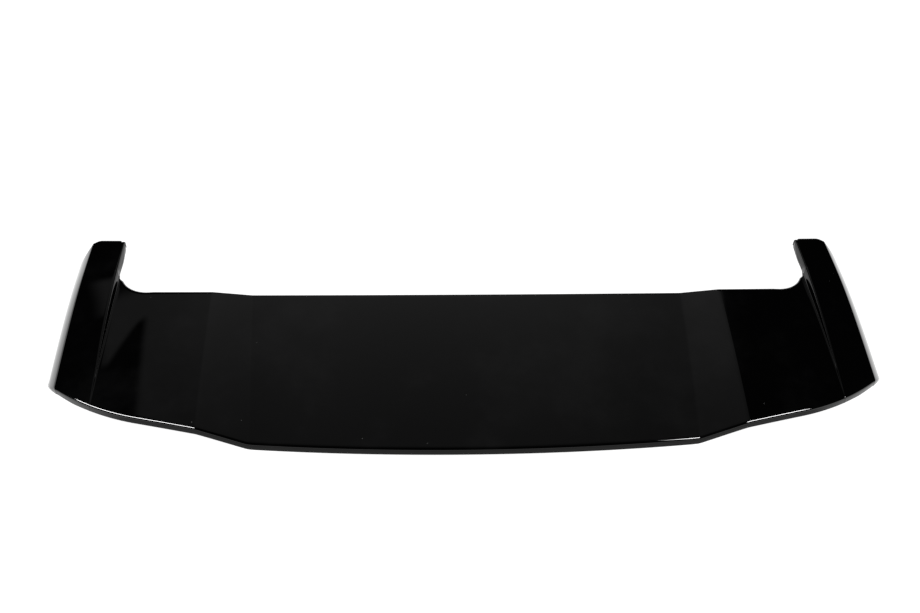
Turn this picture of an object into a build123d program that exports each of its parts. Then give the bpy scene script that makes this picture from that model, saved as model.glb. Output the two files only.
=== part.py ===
"""Roof spoiler for a hatchback: one moulded shell, hollow and open underneath.

A shallow blade spans the car between two raised fins.  Each fin runs forward past the blade as an ear
that lies on the roof.  The middle of the blade is sunk between two flat facets.  The edge turns down all
round, and the side walls reach down to a level rim.

Frame: millimetres, X across the car, +Y forward, +Z up, origin at the middle of the resting plane.
"""
import os
from math import acos, atan, cos, radians, sin, sqrt, tan

from build123d import *

# Overall sizes
span = 1224.0              # across the side walls at Y 0
depth = 402.0              # trailing edge to the fronts of the ears
wall = 3.5                 # thickness of the moulding
lip = 11.0                 # height of the turned-down edge
ear_lip = 2.0              # its height along the ears, below the level of the blade
edge_radius = 2.0          # soft outer corner of that edge

# Blade
blade_slope = 8.0          # degrees, down towards the trailing edge
camber = 5.0               # rise of the blade above its straight chord
crown_radius = 6000.0      # curve across the car
lead_bow = 21.0            # how far the leading edge falls back in the middle
trail_bow = 17.4           # how far the trailing edge comes forward at the inner creases
trail_kink_radius = 120.0  # plan curve of the trailing edge where it passes those creases
trail_sweep = 14.7         # degrees, the straight run outside them

# Sunken middle: a facet climbs from it to the panel beside each fin
sink_front = 6.5
sink_rear = 12.0
panel_front = 151.0        # fin to outer crease
panel_rear = 154.5
facet_front = 59.0         # outer crease to inner crease
facet_rear = 71.5
crease_radius = 40.0

# Fins, and the ears in front of them
fin_width = 51.0           # inner top edge to outer top edge
fin_height = 12.5
fin_tail_run = 71.0        # trailing edge to where the fin has died away
fin_crest_run = 71.0       # ear front back to where the fin has its full height
fin_foot_front = 6.5       # plan width of the fin's inner wall
fin_foot_rear = 3.5
fin_bend = 0.7             # length of each bend of that wall, as a share of its plan width
ear_reach = 112.0          # leading edge to ear front
ear_overhang = 8.0         # fin's inner top edge to the ear's inner side at the notch
ear_splay = 5.5            # how much further out that side is at the front
ear_corner_inner = 6.0
ear_corner_outer = 14.0
ear_cut = 38.0             # side wall to where the outer corner begins
ear_rake = 7.0             # degrees that the ear's front is turned back towards the middle
ear_turn = 68.0            # degrees that the outer corner turns before it runs out through the side wall
notch_radius = 50.0
notch_run = 4.0            # straight end of the leading edge before the notch

# Side walls and tips
side_reach = 24.0          # plan width from the top edge to the vertical
side_radius = 55.0
side_edge_radius = 5.0
side_toe = 1.0             # degrees that the sides close in towards the front
tip_inset = 22.0           # side wall to where the trailing edge turns the corner
tip_back = 116.5           # trailing edge to that corner
tip_run = 121.5            # plan length of the curve that leads up to it
tip_radius = 54.0
tip_turn = 35.0            # degrees that the corner turns before it runs out through the side wall
rim_tail_run = 34.5        # corner to the level rim
rim_nose_run = 96.0        # ear front back to the level rim
rim_radius = 30.0

# Places worked out from those sizes
nose = depth / 2
trail = -depth / 2
lead_end = nose - ear_reach
slope = tan(radians(blade_slope))
toe = tan(radians(side_toe))
chord_mid = (lead_end + trail) / 2
chord_half = (lead_end - trail) / 2
fin_inner = span / 2 - side_reach - fin_width
fin_tail = trail + fin_tail_run
fin_crest = nose - fin_crest_run
ear_inner = fin_inner - ear_overhang
relief_x = fin_inner + fin_width / 2  # where the trim changes from the blade's to the side walls'
side_turn = acos(1 - side_reach / side_radius)
side_drop = side_radius * sin(side_turn)
floor = -2 * side_drop     # profiles run below the resting plane and are cut there
overrun = 15.0             # profiles run past the finished edges in front and behind
upright = 0.001            # largest vertical part of the normal of a face that counts as upright
stations = [trail - overrun, 0.7 * trail, 0.3 * trail, 0.1 * nose, 0.45 * nose, 0.7 * nose, nose + overrun]


def along(y, front, rear):
    """Straight change of a size from the trailing edge to the leading edge."""
    return rear + (front - rear) * (y - trail) / (lead_end - trail)


def crown(x):
    """Fall of the blade surface from the middle line out to x."""
    return crown_radius - sqrt(crown_radius**2 - x**2)


def rise(y):
    """Climb of the blade surface along the car: its slope and its camber."""
    return slope * y + camber * (1 - ((y - chord_mid) / chord_half) ** 2)


def crease_outer(y):
    return fin_inner - along(y, panel_front, panel_rear)


def crease_inner(y):
    return crease_outer(y) - along(y, facet_front, facet_rear)


def sink(y):
    return along(y, sink_front, sink_rear)


def base(y):
    """Height of the blade surface on the middle line before it is sunk.

    The lip's lowest points, where the trailing edge passes the inner creases, touch the resting plane.
    """
    touch = trail + trail_bow
    return lip + sink(touch) + crown(crease_inner(touch)) + rise(y) - rise(touch)


def lip_foot(y):
    """Height of the bottom of the turned-down edge where the two trims meet."""
    return base(y) - crown(relief_x) - lip


def ear_foot(y):
    """Height of the bottom of the ear's edge."""
    return base(y) - crown(ear_inner) - ear_lip


def fin(y):
    """Height of the fin above the blade surface, an easing curve from its tail to its crest."""
    t = min(max((y - fin_tail) / (fin_crest - fin_tail), 0), 1)
    return fin_height * t * t * (3 - 2 * t)


def shell_profile(y, inset):
    """Section across the car at y, from the top surface down past the resting plane.

    inset 0 is the outside of the moulding, and the wall thickness gives its inside.
    """
    top = base(y) - inset
    inner_x = crease_inner(y)
    outer_x = crease_outer(y)
    inner = (inner_x, top - crown(inner_x) - sink(y))
    outer = (outer_x, top - crown(outer_x))
    foot = fin_foot_rear + (fin_foot_front - fin_foot_rear) * fin(y) / fin_height
    run = fin_bend * foot
    cap_x = fin_inner + inset * tan(atan(fin(y) / (foot - run)) / 2)
    cap = (cap_x, top - crown(cap_x) + fin(y))
    foot_x = cap_x - foot
    fin_foot = (foot_x, top - crown(foot_x))
    fall = run * fin_inner / crown_radius
    panel_x = (outer_x + foot_x) / 2
    side_x = span / 2 - toe * y - inset
    edge_x = side_x + inset - side_reach - inset * tan(side_turn / 4)
    edge = (edge_x, top - crown(edge_x) + fin(y))
    cap_mid_x = (cap_x + edge_x) / 2
    arc_radius = side_radius - inset
    side_z = base(y) - crown(span / 2 - side_reach) + fin(y) - side_drop
    side_mid = (side_x - arc_radius * (1 - cos(side_turn / 2)), side_z + arc_radius * sin(side_turn / 2))
    with BuildSketch(Plane.XZ.offset(-y)) as section:
        with BuildLine():
            Line(inner, outer)
            ThreePointArc(outer, (panel_x, top - crown(panel_x)), fin_foot)
            Bezier(fin_foot, (foot_x + run, fin_foot[1] - fall), (cap_x - run, cap[1] + fall), cap)
            ThreePointArc(cap, (cap_mid_x, top - crown(cap_mid_x) + fin(y)), edge)
            ThreePointArc(edge, side_mid, (side_x, side_z))
            Line((side_x, side_z), (side_x, floor))
            mirror(about=Plane.YZ)
            ThreePointArc((-inner_x, inner[1]), (0, top - sink(y)), inner)
            Line((-side_x, floor), (side_x, floor))
        make_face()
        # Sorted across the car there are seven corners a side: two at the foot of the side wall, then its
        # top edge, the fin's cap and foot, and the outer and inner creases
        fillet(section.vertices().sort_by(Axis.X)[5:9], crease_radius)
        across = section.vertices().sort_by(Axis.X)
        fillet([across[2], across[-3]], side_edge_radius)
    return section.sketch


def relief_profile(y):
    """Section at y of the space below the turned-down edge, one lip under the blade surface."""
    top = base(y) - lip
    inner_x = crease_inner(y)
    outer_x = crease_outer(y)
    inner = (inner_x, top - crown(inner_x) - sink(y))
    outer = (outer_x, top - crown(outer_x))
    panel_x = (outer_x + relief_x) / 2
    end = (relief_x, top - crown(relief_x))
    with BuildSketch(Plane.XZ.offset(-y)) as section:
        with BuildLine():
            Line(inner, outer)
            ThreePointArc(outer, (panel_x, top - crown(panel_x)), end)
            Line(end, (relief_x, floor))
            mirror(about=Plane.YZ)
            ThreePointArc((-inner_x, inner[1]), (0, top - sink(y)), inner)
            Line((-relief_x, floor), (relief_x, floor))
        make_face()
    return section.sketch


# Plan outline of the edge.  Beside the side walls it stands clear of them, so they keep their own form.
with BuildSketch() as outline:
    with BuildLine():
        kink = (crease_inner(trail), trail + trail_bow)
        tip_corner = (span / 2 - tip_inset, trail + tip_back)
        sweep_run = tip_corner[0] - tip_run - kink[0]
        sweep = Line(kink, (kink[0] + sweep_run, kink[1] + sweep_run * tan(radians(trail_sweep))))
        tip_curve = TangentArc(sweep @ 1, tip_corner, tangent=sweep % 1)
        tip_arc = JernArc(tip_corner, tip_curve % 1, tip_radius, tip_turn)
        tip_exit = Line(tip_arc @ 1, tip_arc @ 1 + (tip_arc % 1) * tip_radius)
        ear_fall = tan(radians(ear_rake))
        ear_front = (span / 2 - toe * nose - ear_cut, nose - ear_corner_outer * (1 - cos(radians(ear_rake))))
        ear_corner_x = ear_inner + ear_splay
        ear_corner = (ear_corner_x, ear_front[1] - ear_fall * (ear_front[0] - ear_corner_x))
        ear_arc = JernArc(ear_front, (1, ear_fall), ear_corner_outer, -ear_turn)
        ear_exit = Line(ear_arc @ 1, ear_arc @ 1 + (ear_arc % 1) * 2 * ear_cut)
        Line(tip_exit @ 1, ear_exit @ 1)
        lead_x = ear_inner - notch_radius - notch_run
        FilletPolyline(
            ear_front,
            ear_corner,
            (ear_inner, lead_end),
            (lead_x, lead_end),
            radius=[ear_corner_inner, notch_radius],
        )
        mirror(about=Plane.YZ)
        ThreePointArc((-kink[0], kink[1]), (0, trail), kink)
        ThreePointArc((-lead_x, lead_end), (0, lead_end - lead_bow), (lead_x, lead_end))
    make_face()
    kinks = outline.vertices().filter_by_position(Axis.Y, kink[1] - wall, kink[1] + wall)
    fillet(kinks, trail_kink_radius)

with BuildSketch() as inner_outline:
    add(outline.sketch)
    offset(amount=-wall, mode=Mode.REPLACE)

# The hollow: the same form, one wall thickness in
with BuildPart() as hollow:
    for y in stations:
        add(shell_profile(y, wall))
    loft()
    extrude(inner_outline.sketch, amount=-floor, both=True, mode=Mode.INTERSECT)

# What the trim takes off below the edge of the blade and the inner sides of the ears
with BuildPart() as relief:
    for y in stations:
        add(relief_profile(y))
    loft()

# What the trim takes off below the side walls: the rim is level where the part rests, and lifts to the lip at
# the tip and at the ear's front
with BuildPart() as rim_trim:
    with BuildSketch(Plane.YZ.offset(relief_x)):
        with BuildLine():
            rim = FilletPolyline(
                (trail, lip_foot(trail)),
                (tip_corner[1], lip_foot(tip_corner[1])),
                (tip_corner[1] + rim_tail_run, 0),
                (nose - rim_nose_run, 0),
                (nose, ear_foot(nose)),
                radius=rim_radius,
            )
            rim_end = rim @ 1 + Vector(overrun, 0)
            Polyline(rim @ 1, rim_end, (nose + overrun, floor), (trail, floor), rim @ 0)
        make_face()
    extrude(amount=span / 2)
    mirror(about=Plane.YZ)

# What the trim takes off below the ears: along the notch their edge climbs from the lip's foot
with BuildPart() as ear_trim:
    with BuildSketch(Plane.YZ.offset(relief_x)):
        with BuildLine():
            notch_end = lead_end + notch_radius
            ear_edge = FilletPolyline(
                (lead_end, ear_foot(lead_end) + ear_lip - lip),
                (notch_end, ear_foot(notch_end)),
                (nose + overrun, ear_foot(nose + overrun)),
                radius=notch_radius,
            )
            Polyline(ear_edge @ 1, (nose + overrun, floor), (lead_end, floor), ear_edge @ 0)
        make_face()
    extrude(amount=lead_x - relief_x)
    mirror(about=Plane.YZ)

with BuildPart() as spoiler:
    for y in stations:
        add(shell_profile(y, 0))
    loft()
    extrude(outline.sketch, amount=-floor, both=True, mode=Mode.INTERSECT)
    # The outline's cut leaves upright faces, and the first and last across the car are the side walls
    upright_faces = spoiler.faces().filter_by(lambda face: abs(face.normal_at().Z) < upright)
    cut_faces = upright_faces.sort_by(Axis.X)[1:-1]
    top_edges = cut_faces.edges().filter_by_position(Axis.Z, -side_drop, 2 * side_drop)
    fillet(top_edges.filter_by(Axis.Z, reverse=True), edge_radius)
    add(hollow.part, mode=Mode.SUBTRACT)
    add(relief.part, mode=Mode.SUBTRACT)
    add(ear_trim.part, mode=Mode.SUBTRACT)
    add(rim_trim.part, mode=Mode.SUBTRACT)
spoiler.part.label = "spoiler_shell"
print(f"spoiler_shell: {spoiler.part.volume / 1000:.1f} cubic centimetres")

os.makedirs("parts", exist_ok=True)
export_step(spoiler.part, "parts/spoiler_shell.step")
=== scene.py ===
# %% [markdown]
# # A gloss black roof spoiler, surface by surface
# The real object is one hollow moulding: a shallow blade between two raised fins, painted gloss black.
# Black gloss has hardly any colour of its own, so its whole look is what it mirrors.  That makes two things
# matter here: a skin with smooth normals, and a studio whose light falls where the mirror can find it.
# The first cell loads the imported solid as the fixed frame and keeps its box, which the shell's points are
# clipped to.

# %% Load the frame
import math

import bpy
import numpy as np
from mathutils import Matrix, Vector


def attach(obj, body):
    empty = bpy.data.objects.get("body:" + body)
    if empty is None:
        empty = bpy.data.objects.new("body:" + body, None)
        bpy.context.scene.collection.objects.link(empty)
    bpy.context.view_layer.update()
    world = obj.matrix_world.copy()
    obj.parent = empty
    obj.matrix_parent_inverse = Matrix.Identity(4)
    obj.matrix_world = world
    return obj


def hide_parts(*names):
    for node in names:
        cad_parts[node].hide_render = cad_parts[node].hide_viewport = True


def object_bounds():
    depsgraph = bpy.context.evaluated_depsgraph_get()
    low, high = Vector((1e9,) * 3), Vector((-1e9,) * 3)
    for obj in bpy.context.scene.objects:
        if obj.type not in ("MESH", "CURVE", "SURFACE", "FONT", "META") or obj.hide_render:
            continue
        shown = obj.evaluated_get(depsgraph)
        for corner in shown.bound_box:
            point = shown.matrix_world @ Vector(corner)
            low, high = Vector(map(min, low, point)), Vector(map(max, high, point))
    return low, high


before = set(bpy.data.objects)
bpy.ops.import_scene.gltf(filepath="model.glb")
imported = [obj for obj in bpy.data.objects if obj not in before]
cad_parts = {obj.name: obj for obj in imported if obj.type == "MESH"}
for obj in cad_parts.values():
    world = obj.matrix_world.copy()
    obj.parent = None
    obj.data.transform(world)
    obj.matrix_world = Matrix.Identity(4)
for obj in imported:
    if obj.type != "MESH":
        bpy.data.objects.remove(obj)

cad_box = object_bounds()
print("solid's box in metres:", [[round(v, 4) for v in corner] for corner in cad_box])

# %% [markdown]
# ## Sizes
# The sizes are those of the solid, written in millimetres as on a drawing.  One factor turns them into the
# metres that Blender works in.  X runs across the car, Y forward and Z up.

# %% Driving sizes, in millimetres
MM = 0.001
span = 1224.0              # across the side walls at Y 0
depth = 402.0              # trailing edge to the fronts of the ears
wall = 3.5                 # thickness of the moulding
lip = 11.0                 # height of the turned-down edge
ear_lip = 2.0              # its height along the ears
edge_radius = 4.0          # soft outer corner of that edge, as the paint rounds it

blade_slope = 8.0          # degrees, down towards the trailing edge
camber = 5.0
crown_radius = 6000.0
lead_bow = 21.0
trail_bow = 17.4
trail_kink_radius = 120.0
trail_sweep = 14.7         # degrees

sink_front = 6.5
sink_rear = 12.0
panel_front = 151.0
panel_rear = 154.5
facet_front = 59.0
facet_rear = 71.5
crease_radius = 40.0

fin_width = 51.0
fin_height = 12.15         # as the solid's loft stands at the ear's front
fin_tail_run = 71.0
fin_crest_run = 71.0
fin_foot_front = 6.5
fin_foot_rear = 3.5
fin_bend = 0.7             # length of each bend of the fin's wall, as a share of its plan width
ear_reach = 112.0
ear_overhang = 8.0
ear_splay = 5.5
ear_corner_inner = 6.0
ear_corner_outer = 14.0
ear_cut = 38.0             # side wall to where the outer corner begins
ear_rake = 7.0             # degrees
ear_turn = 68.0            # degrees
notch_radius = 50.0
notch_run = 4.0

side_reach = 24.0
side_radius = 55.0
side_edge_radius = 5.0
side_toe = 1.0             # degrees
tip_inset = 22.0
tip_back = 116.5
tip_run = 121.5
tip_radius = 54.0
tip_turn = 35.0            # degrees
rim_tail_run = 34.5
rim_nose_run = 96.0
rim_radius = 30.0

nose = depth / 2
trail = -depth / 2
lead_end = nose - ear_reach
slope = math.tan(math.radians(blade_slope))
toe = math.tan(math.radians(side_toe))
chord_mid = (lead_end + trail) / 2
chord_half = (lead_end - trail) / 2
fin_inner = span / 2 - side_reach - fin_width
fin_tail = trail + fin_tail_run
fin_crest = nose - fin_crest_run
ear_inner = fin_inner - ear_overhang
relief_x = fin_inner + fin_width / 2
side_drop = side_radius * math.sin(math.acos(1 - side_reach / side_radius))
tip_x = span / 2 - tip_inset
tip_y = trail + tip_back
print(f"blade from Y {trail:.0f} to {lead_end:.0f}, ears on to {nose:.0f}")

# %% [markdown]
# ## Height laws
# The blade is a formula: a slope and a camber along the car, a crown across it, and a middle that is sunk
# between two flat facets.  Each law below takes whole arrays, so a surface is one call and no loop.


# %% Laws of height
def along(y, front, rear):
    """Straight change of a size from the trailing edge to the leading edge."""
    return rear + (front - rear) * (y - trail) / (lead_end - trail)


def crown(x):
    """Fall from the middle line out to x: a circle's sagitta."""
    return crown_radius - np.sqrt(crown_radius**2 - x**2)


def rise(y):
    """Climb along the car: a slope, and a parabola for the camber."""
    return slope * y + camber * (1 - ((y - chord_mid) / chord_half) ** 2)


def crease_outer(y):
    return fin_inner - along(y, panel_front, panel_rear)


def crease_inner(y):
    return crease_outer(y) - along(y, facet_front, facet_rear)


def sink(y):
    return along(y, sink_front, sink_rear)


def base(y):
    """Height of the unsunk blade on the middle line.  The lip's lowest points stand at zero."""
    touch = trail + trail_bow
    return lip + sink(touch) + crown(crease_inner(touch)) + rise(y) - rise(touch)


def fin(y):
    """Height of the fin: an easing curve, three t squared less two t cubed, from its tail to its crest."""
    t = np.clip((y - fin_tail) / (fin_crest - fin_tail), 0, 1)
    return fin_height * t * t * (3 - 2 * t)


def ramp(d, soft):
    """Zero before d = 0 and d after it, with a parabola between -soft and +soft to round the corner."""
    return np.where(np.abs(d) < soft, (d + soft) ** 2 / (4 * soft), np.maximum(d, 0))


def blade(x, y):
    """Height of the blade without its fins, for x on the right-hand half."""
    climb = sink(y) / (crease_outer(y) - crease_inner(y))
    soft = crease_radius * climb / 2
    facet = ramp(x - crease_inner(y), soft) - ramp(x - crease_outer(y), soft)
    return base(y) - crown(x) - sink(y) + climb * facet


def bent_line(y, ys, zs, radius):
    """Height of a line through corners, each rounded to about the radius."""
    grades = np.diff(zs) / np.diff(ys)
    z = zs[0] + grades[0] * (y - ys[0])
    for corner, change in zip(ys[1:-1], np.diff(grades)):
        z = z + change * ramp(y - corner, radius * abs(change) / 2)
    return z


def ear_foot(y):
    """Bottom of the ear's edge, a little below the level of the blade."""
    return base(y) - crown(ear_inner) - ear_lip


def rim(y):
    """Bottom of the side wall: level in the middle, lifting to the lip at the tip and to the ear in front."""
    ys = np.array([trail, tip_y, tip_y + rim_tail_run, nose - rim_nose_run, nose])
    tail = base(ys[:2]) - crown(relief_x) - lip
    return bent_line(y, ys, np.array([*tail, 0.0, 0.0, ear_foot(nose)]), rim_radius)


def notch_climb(y):
    """Bottom of the edge along the notch, where it climbs from the lip's foot to the ear's edge."""
    ys = np.array([lead_end, lead_end + notch_radius, nose])
    return bent_line(y, ys, ear_foot(ys) + np.array([ear_lip - lip, 0.0, 0.0]), notch_radius)


middle_line = np.array([lead_end - lead_bow, 0, trail])
print("blade heights, front to back:", np.round(blade(np.zeros(3), middle_line), 1))

# %% [markdown]
# ## Plan outline
# Seen from above the edge is a chain of straights and arcs.  A chain like that is easy to walk: start at a
# point with a heading, and for each run say how long it is and how far it turns.  The chord of a part-walked
# arc has the length s sin(h)/h, where h is half the angle turned so far, and points along the mean heading.
# A straight is the same formula with no turn, so one line of numpy does both.


# %% Walk the outline
STEPS = 80


def walk(start, runs):
    """Points and headings of a plan path, one array a run.  A run is (length, turn in radians)."""
    place, heading = np.array(start, float), 0.0
    walked = []
    for length, turn in runs:
        part = np.linspace(0, 1, STEPS)
        half = turn * part / 2
        chord = length * part * np.sinc(half / np.pi)
        points = place + chord[:, None] * np.stack([np.cos(heading + half), np.sin(heading + half)], 1)
        walked.append((points, heading + turn * part))
        place, heading = points[-1], heading + turn
    return walked


def stretch(walked, side):
    """Joins runs into one path: points, and normals a quarter turn to the given side of the heading."""
    points = np.concatenate([p for p, _ in walked])
    heading = np.concatenate([h for _, h in walked])
    return points, side * np.stack([-np.sin(heading), np.cos(heading)], 1)


LEFT, RIGHT = 1, -1
sweep = math.radians(trail_sweep)
kink_x = float(crease_inner(trail))
bow_radius = (kink_x**2 + trail_bow**2) / (2 * trail_bow)
bow_turn = math.asin(kink_x / bow_radius)
kink_soft = trail_kink_radius * math.tan((sweep - bow_turn) / 2)
bow_turn = bow_turn - kink_soft / bow_radius
sweep_run = tip_x - tip_run - kink_x
tip_rise = tip_y - (trail + trail_bow + sweep_run * math.tan(sweep))
curve_turn = 2 * (math.atan2(tip_rise, tip_run) - sweep)
curve_length = math.hypot(tip_run, tip_rise) * (curve_turn / 2) / math.sin(curve_turn / 2)
tail_path = stretch(walk((0, trail), [
    (bow_radius * bow_turn, bow_turn),
    (trail_kink_radius * (sweep - bow_turn), sweep - bow_turn),
    (sweep_run / math.cos(sweep) - kink_soft, 0),
    (curve_length, curve_turn),
    (tip_radius * math.radians(tip_turn), math.radians(tip_turn)),
    (tip_radius, 0),
]), RIGHT)

lead_x = ear_inner - notch_radius - notch_run
lead_radius = (lead_x**2 + lead_bow**2) / (2 * lead_bow)
lead_turn = math.asin(lead_x / lead_radius)
rake = math.radians(ear_rake)
ear_front_x = span / 2 - toe * nose - ear_cut
ear_front_run = ear_front_x - ear_inner - ear_splay
ear_length = ear_reach - ear_corner_outer * (1 - math.cos(rake)) - math.tan(rake) * ear_front_run
notch_turn = math.atan2(ear_length, ear_splay)
corner_turn = notch_turn - rake
notch_tangent = notch_radius * math.tan(notch_turn / 2)
corner_tangent = ear_corner_inner * math.tan(corner_turn / 2)
settle = 2.0               # short arc that takes the leading edge's heading back to square
front_runs = walk((0, lead_end - lead_bow), [
    (lead_radius * lead_turn, lead_turn),
    (settle, -lead_turn),
    (ear_inner - notch_tangent - lead_x - settle, 0),
    (notch_radius * notch_turn / 2, notch_turn / 2),
    (notch_radius * notch_turn / 2, notch_turn / 2),
    (math.hypot(ear_length, ear_splay) - notch_tangent - corner_tangent, 0),
    (ear_corner_inner * corner_turn / 2, -corner_turn / 2),
    (ear_corner_inner * corner_turn / 2, -corner_turn / 2),
    (ear_front_run / math.cos(rake) - corner_tangent, 0),
    (ear_corner_outer * math.radians(ear_turn), -math.radians(ear_turn)),
    (2 * ear_cut, 0),
])
lead_path = stretch(front_runs[:4], LEFT)
ear_side_path = stretch(front_runs[4:7], LEFT)
ear_front_path = stretch(front_runs[7:], LEFT)
print("tip corner reached at", np.round(tail_path[0][4 * STEPS], 1))
print("ear front at Y", round(ear_front_path[0][STEPS, 1], 1))

# %% [markdown]
# ## Section across the car
# A place on the skin has two parameters: the station y along the car, and u across it.  Whole numbers of u
# are the features of the section: 1 to 4 the two creases, 5 and 6 the foot and cap of the fin, 7 and 8 the
# ends of the soft edge, 9 the rim.  Columns of the mesh then run along the features at every station, and
# that keeps a crease crisp and its shading clean.  The same function with an inset gives the inside.


# %% Section
RIM_MARGIN = 2.2           # the skin stops this far above the rim, and the edge strip finishes it


def section(u, y, inset):
    """Point across the right-hand half at place u and station y: arrays of x and z.

    Up to u 7 the height is the blade's law plus the fin's S-curve.  Then a small arc rolls over the edge, and
    the side runs down a large arc that turns into a straight wall.
    """
    u, y = np.broadcast_arrays(np.asarray(u, float), np.asarray(y, float))
    height = fin(y)
    climb = sink(y) / (crease_outer(y) - crease_inner(y))
    soft = crease_radius * climb / 2
    foot = fin_foot_rear + (fin_foot_front - fin_foot_rear) * height / fin_height
    cap = fin_inner + inset * np.tan(np.arctan(height / (foot * (1 - fin_bend))) / 2)
    arc = side_radius - inset
    hub_x = span / 2 - toe * y - side_radius
    shoulder = span / 2 - side_reach
    lean = shoulder / crown_radius
    hub_z = base(y) - crown(shoulder) + height - side_drop
    ball = arc - side_edge_radius
    reach = (side_drop - inset + lean * (shoulder - hub_x) - side_edge_radius / math.cos(lean)) / ball
    turn = np.arcsin(reach / math.hypot(1, lean)) - math.atan(lean)
    ball_x = hub_x + ball * np.cos(turn)
    ball_z = hub_z + ball * np.sin(turn)
    start = math.pi / 2 - lean
    stops = np.stack([
        np.zeros_like(y),
        crease_inner(y) - soft,
        crease_inner(y) + soft,
        crease_outer(y) - soft,
        crease_outer(y) + soft,
        cap - foot,
        cap,
        ball_x + side_edge_radius * math.cos(start),
    ])
    piece = np.clip(np.floor(u), 0, 6).astype(int)
    t = np.clip(u - 5, 0, 1)
    bend = 3 * fin_bend * t + (3 - 9 * fin_bend) * t**2 + (6 * fin_bend - 2) * t**3
    part = np.where(piece == 5, bend, u - piece)
    low_stop = np.take_along_axis(stops, piece[None], 0)[0]
    high_stop = np.take_along_axis(stops, piece[None] + 1, 0)[0]
    x = low_stop + (high_stop - low_stop) * part
    z = blade(np.minimum(x, shoulder + side_reach), y) - inset + height * (3 * t**2 - 2 * t**3)

    angle = start + (turn - start) * np.clip(u - 7, 0, 1)
    x = np.where(u > 7, ball_x + side_edge_radius * np.cos(angle), x)
    z = np.where(u > 7, ball_z + side_edge_radius * np.sin(angle), z)

    low = rim(y) + RIM_MARGIN
    low_angle = np.arcsin(np.clip((low - hub_z) / arc, 0, 1))
    arc_length = arc * (turn - low_angle)
    run = np.clip(u - 8, 0, 1) * (arc_length + np.maximum(hub_z - low, 0))
    angle = np.clip(turn - run / arc, low_angle, turn)
    x = np.where(u > 8, hub_x + arc * np.cos(angle), x)
    z = np.where(u > 8, hub_z + arc * np.sin(angle) - np.maximum(run - arc_length, 0), z)
    return x, z


def place_of(x, y, inset):
    """The place u between the panel and the cap whose section passes through x, for each station."""
    table = np.linspace(4.5, 6.9, 600)
    across = section(table[None, :], y[:, None], inset)[0]
    return np.array([np.interp(one, row, table) for one, row in zip(x, across)])


print("section at Y 0, from the middle line to the rim:")
print(np.round(np.stack(section(np.arange(10.0), np.zeros(10), 0)), 1))

# %% [markdown]
# ## Skins
# The skin is laid in two grids for the right-hand half.  One runs from the trailing edge to the leading edge,
# and the other goes on from there to the front of the ear, sharing its first row.  The columns near the notch
# lean over to follow the ear's inner side.  Where a column meets the outline is found by a few rounds of
# substitution: guess y, find x there, read the outline's y at that x, and repeat.


# %% Lay a skin
COLUMNS = {0: 44, 1: 7, 2: 9, 3: 7, 5: 16, 7: 6, 8: 20}
PANEL_COLUMNS, NOTCH_COLUMNS, CAP_COLUMNS = 24, 4, 9
CAP_MIDDLE = 6.5
BLADE_ROWS, EAR_ROWS = 68, 36
SUBSTITUTIONS = 12


def spread(first, last, count):
    return np.linspace(first, last, count + 1)[1:]


def columns(u_notch):
    """Places of the mesh columns across the half, with one at the notch and one at the cap's middle."""
    parts = [np.zeros(1)]
    for piece in range(9):
        if piece == 4:
            parts += [spread(4, u_notch, PANEL_COLUMNS), spread(u_notch, 5, NOTCH_COLUMNS)]
        elif piece == 6:
            parts += [spread(6, CAP_MIDDLE, CAP_COLUMNS), spread(CAP_MIDDLE, 7, CAP_COLUMNS)]
        else:
            parts.append(spread(piece, piece + 1, COLUMNS[piece]))
    return np.concatenate(parts)


NOTCH = COLUMNS[0] + COLUMNS[1] + COLUMNS[2] + COLUMNS[3] + PANEL_COLUMNS


def set_back(path, amount):
    """The path moved inwards by an amount at each point."""
    points, normals = path
    return points - normals * np.broadcast_to(amount, len(points))[:, None]


def meet(u, guess, path, inset):
    """Station where each column meets a path, by substitution."""
    y = np.full(len(u), float(guess))
    for _ in range(SUBSTITUTIONS):
        y = np.interp(section(u, y, inset)[0], path[:, 0], path[:, 1])
    return y


def lay(inset, backs):
    """The two grids of a skin, as arrays of points, set back from the outline by the given amounts."""
    tail, lead, ear_side, ear_front = (set_back(path, back) for path, back in zip(PATHS, backs))
    u_notch = place_of(ear_side[:1, 0], ear_side[:1, 1], inset)[0]
    u = columns(u_notch)
    y_tail = meet(u, tip_y, tail, inset)
    y_front = np.where(np.arange(len(u)) < NOTCH, meet(u, lead_end, lead, inset), ear_side[0, 1])
    rows = np.linspace(0, 1, BLADE_ROWS + 1)[:, None]
    y = y_tail + (y_front - y_tail) * rows
    x, z = section(u, y, inset)
    main = np.stack([x, y, z], -1)

    rows = np.linspace(0, 1, EAR_ROWS + 1)
    y_side = ear_side[0, 1] + (ear_side[-1, 1] - ear_side[0, 1]) * rows
    u_side = place_of(np.interp(y_side, ear_side[:, 1], ear_side[:, 0]), y_side, inset)
    u_ear = u[NOTCH:]
    share = np.clip((u_ear - u_notch) / (CAP_MIDDLE - u_notch), 0, 1)
    lean_over = (1 - share) * (u_side - u_notch)[:, None]
    y_nose = meet(u_ear + lean_over[-1], nose, ear_front, inset)
    y_nose[0] = ear_side[-1, 1]
    y = ear_side[0, 1] + (y_nose - ear_side[0, 1]) * rows[:, None]
    x, z = section(u_ear + lean_over, y, inset)
    return main, np.stack([x, y, z], -1)


def normals_of(grid):
    """Unit normals of a grid, from the cross product of its two directions."""
    across = np.gradient(grid, axis=1)
    ahead = np.gradient(grid, axis=0)
    normal = np.cross(across, ahead)
    return normal / np.linalg.norm(normal, axis=-1, keepdims=True)


def loop(main, ear):
    """Values round the half's boundary: tail, side rim, ear front, ear side and leading edge."""
    return np.concatenate([
        main[0],
        main[1:, -1],
        ear[1:, -1],
        ear[-1, -2::-1],
        ear[-2::-1, 0],
        main[-1, NOTCH - 1::-1],
    ])


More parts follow.
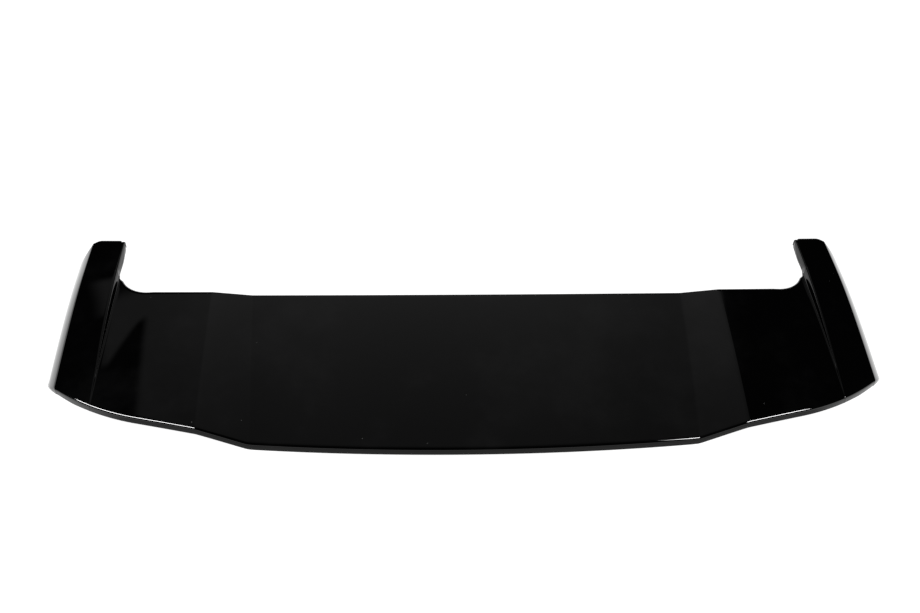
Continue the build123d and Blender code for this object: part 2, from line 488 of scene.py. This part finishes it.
PATHS = (tail_path, lead_path, ear_side_path, ear_front_path)
sharp = lay(0, (0, 0, 0, 0))
print("grids of the half:", sharp[0].shape[:2], "and", sharp[1].shape[:2])

# %% [markdown]
# ## Room for the soft edge
# The edge is rounded as if a ball had rolled along inside it.  The ball leaves the skin a little
# before the outline: by the radius times one less the cosine between the skin's normal and the outline's.
# So the skin is laid once up to the outline, to learn its normals there, and then again, set back by that.


# %% Outward normals and setbacks
def outward(points, path):
    """The outline's normal at points along it, by the nearest place on whichever axis it advances."""
    axis = 1 if path is ear_side_path else 0
    order = path[0][:, axis]
    plan = np.stack([np.interp(points[:, axis], order, path[1][:, k]) for k in range(2)], 1)
    plan = plan / np.linalg.norm(plan, axis=1, keepdims=True)
    return np.column_stack([plan, np.zeros(len(plan))])


def ball_back(points, normals, path):
    """Setback at each point of a path, read off the skin's own boundary points."""
    axis = 1 if path is ear_side_path else 0
    room = edge_radius * (1 - np.sum(normals * outward(points, path), 1))
    return np.interp(path[0][:, axis], points[:, axis], room)


sharp_normals = [normals_of(grid) for grid in sharp]
backs = (
    ball_back(sharp[0][0], sharp_normals[0][0], tail_path),
    ball_back(sharp[0][-1, :NOTCH + 1], sharp_normals[0][-1, :NOTCH + 1], lead_path),
    ball_back(sharp[1][:, 0], sharp_normals[1][:, 0], ear_side_path),
    ball_back(sharp[1][-1], sharp_normals[1][-1], ear_front_path),
)
outer_skin = lay(0, backs)
inner_skin = lay(wall, (wall, wall, wall, wall))
for name, back in zip(("tail", "lead", "ear side", "ear front"), backs):
    print(f"setback along the {name}: {back.min():.2f} to {back.max():.2f} mm")

# %% [markdown]
# ## Edge strip
# A strip joins the two skins round the whole boundary.  It is a profile carried along a path: the roll of the
# ball, the face of the lip, a small chamfer, the bottom, and the inside face.  Along the side rim there is no
# lip, so there the same profile just runs on down the wall for its last two millimetres.

# %% Make the strip
ROLL = 6
FOOT_CHAMFER = 0.6
RIM_ROLL = 1.0
RELIEF_BLEND = 20.0        # plan width over which the lip's foot becomes the side's rim

outer_edge = loop(*outer_skin)
inner_edge = loop(*inner_skin)
outer_normal = loop(*[normals_of(grid) for grid in outer_skin])
tail_count = outer_skin[0].shape[1]
rim_count = BLADE_ROWS + EAR_ROWS
front_count = outer_skin[1].shape[1] - 1
stations = np.arange(len(outer_edge))
on_rim = (stations >= tail_count) & (stations < tail_count + rim_count)
front_end = tail_count + rim_count + front_count
side_end = front_end + EAR_ROWS
away = np.concatenate([
    outward(outer_edge[:tail_count], tail_path),
    outer_normal[on_rim],
    outward(outer_edge[tail_count + rim_count:front_end], ear_front_path),
    outward(outer_edge[front_end:side_end], ear_side_path),
    outward(outer_edge[side_end:], lead_path),
])


def lip_bottom(points):
    """Height of the bottom edge: the lip under the blade, its climb along the notch, and the side's rim."""
    blend = np.clip((points[:, 0] - relief_x) / RELIEF_BLEND + 0.5, 0, 1)
    x, y = np.minimum(points[:, 0], relief_x), points[:, 1]
    foot = blade(x, y) - lip
    foot = np.where(y > lead_end, np.maximum(foot, notch_climb(y)), foot)
    return (1 - blend) * foot + blend * rim(y)


def fall_direction(edge, grids):
    """Way down from each station for one unit of height: upright, but along the skin on the rim."""
    main, ear = grids
    inwards = loop(np.roll(main, 1, 1), np.roll(ear, 1, 1)) - edge
    fall = np.tile([0.0, 0.0, -1.0], (len(edge), 1))
    fall[on_rim] = -inwards[on_rim] / inwards[on_rim, 2:]
    return fall


def drop_to(points, fall, z):
    """The points moved down their fall direction to height z."""
    return points + fall * (points[:, 2] - z)[:, None]


cosine = np.clip(np.sum(outer_normal * away, 1), -1, 1)
bend = np.arccos(cosine)
outer_fall = fall_direction(outer_edge, outer_skin)
inner_fall = fall_direction(inner_edge, inner_skin)
rings = [outer_edge]
for step in range(1, ROLL + 1):
    part = step / ROLL
    weight_up = np.sinc((1 - part) * bend / np.pi) * (1 - part) / np.sinc(bend / np.pi)
    weight_away = np.sinc(part * bend / np.pi) * part / np.sinc(bend / np.pi)
    turned = weight_up[:, None] * outer_normal + weight_away[:, None] * away
    run_on = outer_fall * (RIM_ROLL * part * np.maximum(cosine, 0) ** 2)[:, None]
    rings.append(outer_edge + edge_radius * (turned - outer_normal) + run_on)
outer_bottom = lip_bottom(rings[-1])
inner_bottom = lip_bottom(inner_edge)
outer_toe = drop_to(rings[-1], outer_fall, outer_bottom)
inner_toe = drop_to(inner_edge, inner_fall, inner_bottom)
inwards = (inner_toe - outer_toe) / np.linalg.norm(inner_toe - outer_toe, axis=1, keepdims=True)
rings += [
    drop_to(rings[-1], outer_fall, outer_bottom + FOOT_CHAMFER),
    outer_toe + inwards * FOOT_CHAMFER,
    inner_toe - inwards * FOOT_CHAMFER,
    drop_to(inner_edge, inner_fall, inner_bottom + FOOT_CHAMFER),
    inner_edge,
]
rings = np.array(rings)
print(f"strip of {len(rings)} rings and {len(stations)} stations, lowest at {rings[..., 2].min():.2f} mm")

# %% [markdown]
# ## One closed mesh
# The skins and the strip share their boundary points, so the shell is closed.  The left half is the right
# one with x turned round and its faces wound the other way.  Points on the middle line keep their numbers, so
# the halves are joined there.  The painted faces and the bare inside get their own material slots.


# %% Assemble the shell
def quads(numbers, flip=False):
    """Faces of a grid of point numbers, wound so that they face up, or down when flipped."""
    corners = [numbers[:-1, :-1], numbers[:-1, 1:], numbers[1:, 1:], numbers[1:, :-1]]
    faces = np.stack([corner.ravel() for corner in corners], 1)
    return faces[:, ::-1] if flip else faces


def number_skin(grids, first):
    """Point numbers for the two grids of a skin, which share the row at the notch."""
    main, ear = grids
    main_numbers = first + np.arange(main[..., 0].size).reshape(main.shape[:2])
    fresh = main_numbers.max() + 1 + np.arange(ear[1:, :, 0].size).reshape(len(ear) - 1, -1)
    return main_numbers, np.vstack([main_numbers[-1:, NOTCH:], fresh])


def skin_points(grids):
    return np.concatenate([grids[0].reshape(-1, 3), grids[1][1:].reshape(-1, 3)])


outer_numbers = number_skin(outer_skin, 0)
inner_numbers = number_skin(inner_skin, len(skin_points(outer_skin)))
between = rings[1:-1]
first = inner_numbers[1].max() + 1
strip_numbers = np.vstack([
    loop(*outer_numbers)[None],
    first + np.arange(between[..., 0].size).reshape(between.shape[:2]),
    loop(*inner_numbers)[None],
])
points = np.concatenate([skin_points(outer_skin), skin_points(inner_skin), between.reshape(-1, 3)])
painted_rings = ROLL + 2
painted = [quads(grid) for grid in outer_numbers] + [quads(strip_numbers[:painted_rings + 1], flip=True)]
bare = [quads(grid, flip=True) for grid in inner_numbers] + [quads(strip_numbers[painted_rings:], flip=True)]
faces = np.concatenate(painted + bare)
is_bare = np.concatenate([np.zeros(sum(map(len, painted)), int), np.ones(sum(map(len, bare)), int)])

middle = np.abs(points[:, 0]) < 1e-6
twin = np.where(middle, np.arange(len(points)), len(points) - 1 + np.cumsum(~middle))
points = np.concatenate([points, points[~middle] * [-1, 1, 1]])
faces = np.concatenate([faces, twin[faces][:, ::-1]])
is_bare = np.concatenate([is_bare, is_bare])

points = np.clip(points, np.array(cad_box[0]) / MM, np.array(cad_box[1]) / MM)
mesh = bpy.data.meshes.new("moulded_shell")
mesh.from_pydata((points * MM).tolist(), [], faces.tolist())
mesh.polygons.foreach_set("material_index", is_bare)
mesh.shade_smooth()
SHARP_ANGLE = 38.0         # degrees, only the strip's square corners are sharper
mesh.set_sharp_from_angle(angle=math.radians(SHARP_ANGLE))
mesh.validate()
shell = bpy.data.objects.new("moulded_shell", mesh)
bpy.context.scene.collection.objects.link(shell)
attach(shell, "root")
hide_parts("spoiler_shell")
print(f"moulded_shell: {len(points)} points, {len(faces)} faces")

# %% [markdown]
# ## Node helpers
# Materials and the room's light are node trees.  These helpers make one node a call, and each input takes a
# number, a colour or another node's output.  So a chain of nodes reads like a formula.


# %% Node helpers
MIX_SOCKETS = {"FLOAT": (2, 3, 0), "RGBA": (6, 7, 2)}  # places of A, B and the result on a Mix node


def feed(tree, socket, value):
    """Links another node's output to a socket, or gives the socket a plain value."""
    if isinstance(value, bpy.types.NodeSocket):
        tree.links.new(value, socket)
    else:
        socket.default_value = value


def add_node(tree, kind, inputs, **settings):
    """A node with its settings, and with its inputs by name or number."""
    made = tree.nodes.new(kind)
    for key, value in settings.items():
        setattr(made, key, value)
    for key, value in inputs.items():
        feed(tree, made.inputs[key], value)
    return made


def maths(tree, operation, *values):
    """Result of a Math node."""
    return add_node(tree, "ShaderNodeMath", dict(enumerate(values)), operation=operation).outputs[0]


def map_range(tree, value, start, end, low=0.0, high=1.0, kind="SMOOTHSTEP"):
    """The value carried from the range start to end over to the range low to high, along an easing curve."""
    names = ("Value", "From Min", "From Max", "To Min", "To Max")
    inputs = dict(zip(names, (value, start, end, low, high)))
    return add_node(tree, "ShaderNodeMapRange", inputs, interpolation_type=kind).outputs["Result"]


def mix(tree, kind, share, first, second):
    """First where the share is 0 and second where it is 1: numbers for FLOAT, colours for RGBA."""
    a, b, result = MIX_SOCKETS[kind]
    return add_node(tree, "ShaderNodeMix", {0: share, a: first, b: second}, data_type=kind).outputs[result]


print("helpers:", [helper.__name__ for helper in (feed, add_node, maths, map_range, mix)])

# %% [markdown]
# ## Surface effects shared by both finishes
# Paint and bare plastic share three effects at different strengths: a fine unevenness (orange peel on the
# paint, moulded grain on the plastic), soft cloudy patches where the surface was wiped, and a little dust.
# A node group holds them once.  It reads Object coordinates, which are metres here, and puts out only values.


# %% Node group: fine surface
CLOUD_SCALE, CLOUD_EDGES = 9.0, (0.45, 0.75)
DUST_SCALE, DUST_DRAW = 90.0, 0.93         # cells a metre, and the random draw above which one holds a speck


def fine_surface_group():
    """Height of the fine unevenness in metres, and masks of the cloudy patches and of the dust."""
    tree = bpy.data.node_groups.new("fine_surface", "ShaderNodeTree")
    for name in ("Grain Scale", "Grain Depth", "Dust Size"):
        tree.interface.new_socket(name=name, in_out="INPUT", socket_type="NodeSocketFloat")
    for name in ("Height", "Patches", "Dust"):
        tree.interface.new_socket(name=name, in_out="OUTPUT", socket_type="NodeSocketFloat")
    given = tree.nodes.new("NodeGroupInput").outputs
    result = tree.nodes.new("NodeGroupOutput").inputs
    place = tree.nodes.new("ShaderNodeTexCoord").outputs["Object"]

    waves = {"Vector": place, "Scale": given["Grain Scale"], "Detail": 2.0, "Roughness": 0.45}
    grain = add_node(tree, "ShaderNodeTexNoise", waves).outputs["Fac"]
    feed(tree, result["Height"], maths(tree, "MULTIPLY", grain, given["Grain Depth"]))

    waves = {"Vector": place, "Scale": CLOUD_SCALE, "Detail": 4.0, "Roughness": 0.6}
    cloud = add_node(tree, "ShaderNodeTexNoise", waves).outputs["Fac"]
    feed(tree, result["Patches"], map_range(tree, cloud, *CLOUD_EDGES))

    cells = add_node(tree, "ShaderNodeTexVoronoi", {"Vector": place, "Scale": DUST_SCALE}).outputs
    speck = maths(tree, "LESS_THAN", cells["Distance"], given["Dust Size"])
    draw = add_node(tree, "ShaderNodeSeparateColor", {"Color": cells["Color"]}).outputs["Red"]
    chosen = maths(tree, "GREATER_THAN", draw, DUST_DRAW)
    feed(tree, result["Dust"], maths(tree, "MULTIPLY", speck, chosen))
    return tree


fine_surface = fine_surface_group()
print("node group:", fine_surface.name, [item.name for item in fine_surface.interface.items_tree])

# %% [markdown]
# ## Finishes
# The paint is a dielectric with almost no colour, a very low roughness and the mirror of IOR 1.5.  Where it
# was wiped it is a shade rougher and hazier, and its dust is lighter.  The inside is the bare black plastic,
# satin and grained.  One function makes both, since they differ only in numbers.


# %% Materials
PLASTIC_IOR = 1.5


def finish_material(name, colours, roughness, grain_scale, grain_depth, dust_size):
    """A dark plastic finish.  colours are clean, hazy and dusty, and so is roughness."""
    material = bpy.data.materials.new(name)
    material.use_nodes = True
    tree = material.node_tree
    shader = tree.nodes["Principled BSDF"].inputs
    shader["IOR"].default_value = PLASTIC_IOR
    strengths = {"Grain Scale": grain_scale, "Grain Depth": grain_depth, "Dust Size": dust_size}
    detail = add_node(tree, "ShaderNodeGroup", strengths, node_tree=fine_surface).outputs

    clean, hazy, dusty = ((*colour, 1) for colour in colours)
    wiped = mix(tree, "RGBA", detail["Patches"], clean, hazy)
    feed(tree, shader["Base Color"], mix(tree, "RGBA", detail["Dust"], wiped, dusty))

    clean, hazy, dusty = roughness
    wiped = mix(tree, "FLOAT", detail["Patches"], clean, hazy)
    feed(tree, shader["Roughness"], mix(tree, "FLOAT", detail["Dust"], wiped, dusty))

    bump = add_node(tree, "ShaderNodeBump", {"Height": detail["Height"], "Distance": 1.0})
    feed(tree, shader["Normal"], bump.outputs["Normal"])
    return material


gloss_paint = finish_material(
    "gloss_black_paint",
    colours=((0.0004, 0.0004, 0.00042), (0.0014, 0.0014, 0.00145), (0.012, 0.012, 0.012)),
    roughness=(0.02, 0.05, 0.5),
    grain_scale=160.0,
    grain_depth=1.5e-6,
    dust_size=0.06,
)
bare_plastic = finish_material(
    "bare_black_plastic",
    colours=((0.012, 0.012, 0.0125), (0.016, 0.016, 0.0165), (0.07, 0.068, 0.065)),
    roughness=(0.42, 0.55, 0.7),
    grain_scale=900.0,
    grain_depth=2.5e-5,
    dust_size=0.1,
)
mesh.materials.append(gloss_paint)
mesh.materials.append(bare_plastic)
print("finishes:", [material.name for material in mesh.materials])

# %% [markdown]
# ## Floor
# The floor is a white table, and the camera sees it white.  In the paint's mirror it is dimmer, most of all
# behind the part, so that the turned-down edge stays dark.  Beyond the two ends it is brighter, where the
# side walls find it.  One material does both, by asking whether a ray comes straight from the camera.


# %% Floor
FLOOR_HALF = 9.0
BEHIND_PART = (-0.15, 0.0, 0.2, 0.6)       # two places along Y, and the mirrored strength at each
BESIDE_PART = (0.50, 0.66)                 # distances from the middle between which it grows further
BESIDE_STRENGTH = 1.8
SEEN_STRENGTH = 1.0


def floor_material():
    """White to the camera, and to mirrors a strength that changes with the place."""
    material = bpy.data.materials.new("white_table")
    material.use_nodes = True
    tree = material.node_tree
    shader = tree.nodes["Principled BSDF"].inputs
    shader["Base Color"].default_value = (0.1, 0.1, 0.1, 1)
    shader["Roughness"].default_value = 0.9
    shader["Specular IOR Level"].default_value = 0.0
    shader["Emission Color"].default_value = (1, 1, 1, 1)
    place = tree.nodes.new("ShaderNodeTexCoord").outputs["Object"]
    x, y, _ = add_node(tree, "ShaderNodeSeparateXYZ", {0: place}).outputs
    behind = map_range(tree, y, *BEHIND_PART, "LINEAR")
    mirrored = map_range(tree, maths(tree, "ABSOLUTE", x), *BESIDE_PART, behind, BESIDE_STRENGTH, "LINEAR")
    seen = tree.nodes.new("ShaderNodeLightPath").outputs["Is Camera Ray"]
    feed(tree, shader["Emission Strength"], mix(tree, "FLOAT", seen, mirrored, SEEN_STRENGTH))
    return material


corners = np.array([[-1, -1, 0], [1, -1, 0], [1, 1, 0], [-1, 1, 0]]) * FLOOR_HALF
floor_mesh = bpy.data.meshes.new("studio_floor")
floor_mesh.from_pydata(corners.tolist(), [], [[0, 1, 2, 3]])
floor_mesh.materials.append(floor_material())
floor = bpy.data.objects.new("studio_floor", floor_mesh)
bpy.context.scene.collection.objects.link(floor)
print("floor of", 2 * FLOOR_HALF, "metres")

# %% [markdown]
# ## Room
# The room above the table is dark, apart from a dim soft glow beyond the part, which is what the blade
# mirrors, and a white band at the horizon, which the side walls mirror.  On the left a dark flag stands in
# the glow.  A room could be modelled, but light by direction is enough for a mirror, and its edges are easy
# to place.  A look straight at the room sees white.


# %% Room
def room_world():
    """World light by direction: white low down, and above that a dim glow with a dark flag in it.

    The glow falls off upwards and to both sides.  Each curve multiplies it by one more easing.
    """
    world = bpy.data.worlds.new("dark_studio")
    world.use_nodes = True
    tree = world.node_tree
    background = tree.nodes["Background"].inputs
    background["Color"].default_value = (1, 1, 1, 1)
    way = tree.nodes.new("ShaderNodeTexCoord").outputs["Generated"]
    across, ahead, up = add_node(tree, "ShaderNodeSeparateXYZ", {0: way}).outputs

    glow = map_range(tree, up, 0.78, 0.96, 0.26, 0.115, "LINEAR")
    curves = (
        (across, -0.36, -0.10, 0.5, 1.0),
        (across, 0.10, 0.36, 1.0, 0.55),
        (across, 0.355, 0.375, 1.0, 0.0),
        (across, -0.405, -0.38, 0.0, 1.0),
        (ahead, 0.05, 0.25, 0.0, 1.0),
        (up, 0.675, 0.71, 0.0, 1.0),
    )
    for curve in curves:
        glow = maths(tree, "MULTIPLY", glow, map_range(tree, *curve))

    flag_slant = maths(tree, "ADD", up, maths(tree, "MULTIPLY", across, 1.15))
    flag_side = maths(tree, "ADD", across, maths(tree, "MULTIPLY", up, 0.158))
    flag_ledge = map_range(tree, up, 0.785, 0.797)
    flag = maths(tree, "MAXIMUM", map_range(tree, flag_slant, 0.342, 0.356), flag_ledge)
    flag = maths(tree, "MULTIPLY", flag, map_range(tree, flag_side, -0.226, -0.214, 1.0, 0.0))
    flag = maths(tree, "MULTIPLY", flag, map_range(tree, up, 0.738, 0.754))
    glow = maths(tree, "MULTIPLY", glow, maths(tree, "SUBTRACT", 1.0, flag))

    light = maths(tree, "ADD", map_range(tree, up, 0.12, 0.30, 1.0, 0.0), glow)
    seen = tree.nodes.new("ShaderNodeLightPath").outputs["Is Camera Ray"]
    feed(tree, background["Strength"], maths(tree, "MAXIMUM", light, seen))
    return world


bpy.context.scene.world = room_world()
bpy.context.scene.view_settings.view_transform = "Standard"
print("room:", bpy.context.scene.world.name)

# %% [markdown]
# ## Softboxes
# Two softboxes over the ends draw the bright lines along the swept trailing edge.  A rounded edge mirrors a
# lamp as a line, so the length of each box sets where its line ends.


# %% Softboxes
BOX_HEIGHT = 0.55
WATTS_PER_METRE = 80.0
BOX_ALONG = np.array([0.74, 0.54, -0.4])
BOX_AIM = np.array([0.5, -0.1, 0.0])
BOXES = {                                  # side of the car, place when on the right, and length
    "softbox_left": (-1, (1.70, -0.53, 1.98), 1.1),
    "softbox_right": (1, (1.55, -0.64, 2.06), 0.9),
}


def softbox(name, place, aim, along, length, watts):
    """An area light at a place, turned to face a point, with its length along a direction."""
    light = bpy.data.lights.new(name, "AREA")
    light.shape = "RECTANGLE"
    light.size = length
    light.size_y = BOX_HEIGHT
    light.energy = watts
    lamp = bpy.data.objects.new(name, light)
    back = (place - aim) / np.linalg.norm(place - aim)
    upright = np.cross(back, along)
    upright = upright / np.linalg.norm(upright)
    turned = np.column_stack([np.cross(upright, back), upright, back, place])
    lamp.matrix_world = Matrix(turned.tolist() + [[0, 0, 0, 1]])
    bpy.context.scene.collection.objects.link(lamp)
    return lamp


for name, (side, place, length) in BOXES.items():
    flip = np.array([side, 1, 1])
    lamp = softbox(name, place * flip, BOX_AIM * flip, BOX_ALONG * flip, length, WATTS_PER_METRE * length)
    print(lamp.name, "at", place, "and", length, "metres long")

# %% [markdown]
# ## Camera
# The view is from behind the car and above, a little to the left of the middle.  The place, the three angles
# and the focal length were fitted to the object's edges in a picture of 920 by 613 pixels.

# %% Camera
FRAME_WIDTH = 920
FOCAL_PIXELS = 1100.0
SENSOR = 36.0
camera_place = np.array([-98.58, -1166.65, 1169.98]) * MM
yaw, pitch, roll = np.radians([-3.994, 42.591, -2.346])

forward = np.array([-math.sin(yaw) * math.cos(pitch), math.cos(yaw) * math.cos(pitch), -math.sin(pitch)])
level = np.array([math.cos(yaw), math.sin(yaw), 0.0])
down = np.cross(forward, level)
picture_right = math.cos(roll) * level + math.sin(roll) * down
picture_down = math.cos(roll) * down - math.sin(roll) * level
lens = bpy.data.cameras.new("camera")
lens.sensor_width = SENSOR
lens.lens = FOCAL_PIXELS * SENSOR / FRAME_WIDTH
lens.clip_start = 0.05
lens.clip_end = 60.0
camera = bpy.data.objects.new("camera", lens)
turned = np.column_stack([picture_right, -picture_down, -forward, camera_place])
camera.matrix_world = Matrix(turned.tolist() + [[0, 0, 0, 1]])
bpy.context.scene.collection.objects.link(camera)
bpy.context.scene.camera = camera
print(f"lens {lens.lens:.2f} mm at {np.round(camera_place, 3)}")
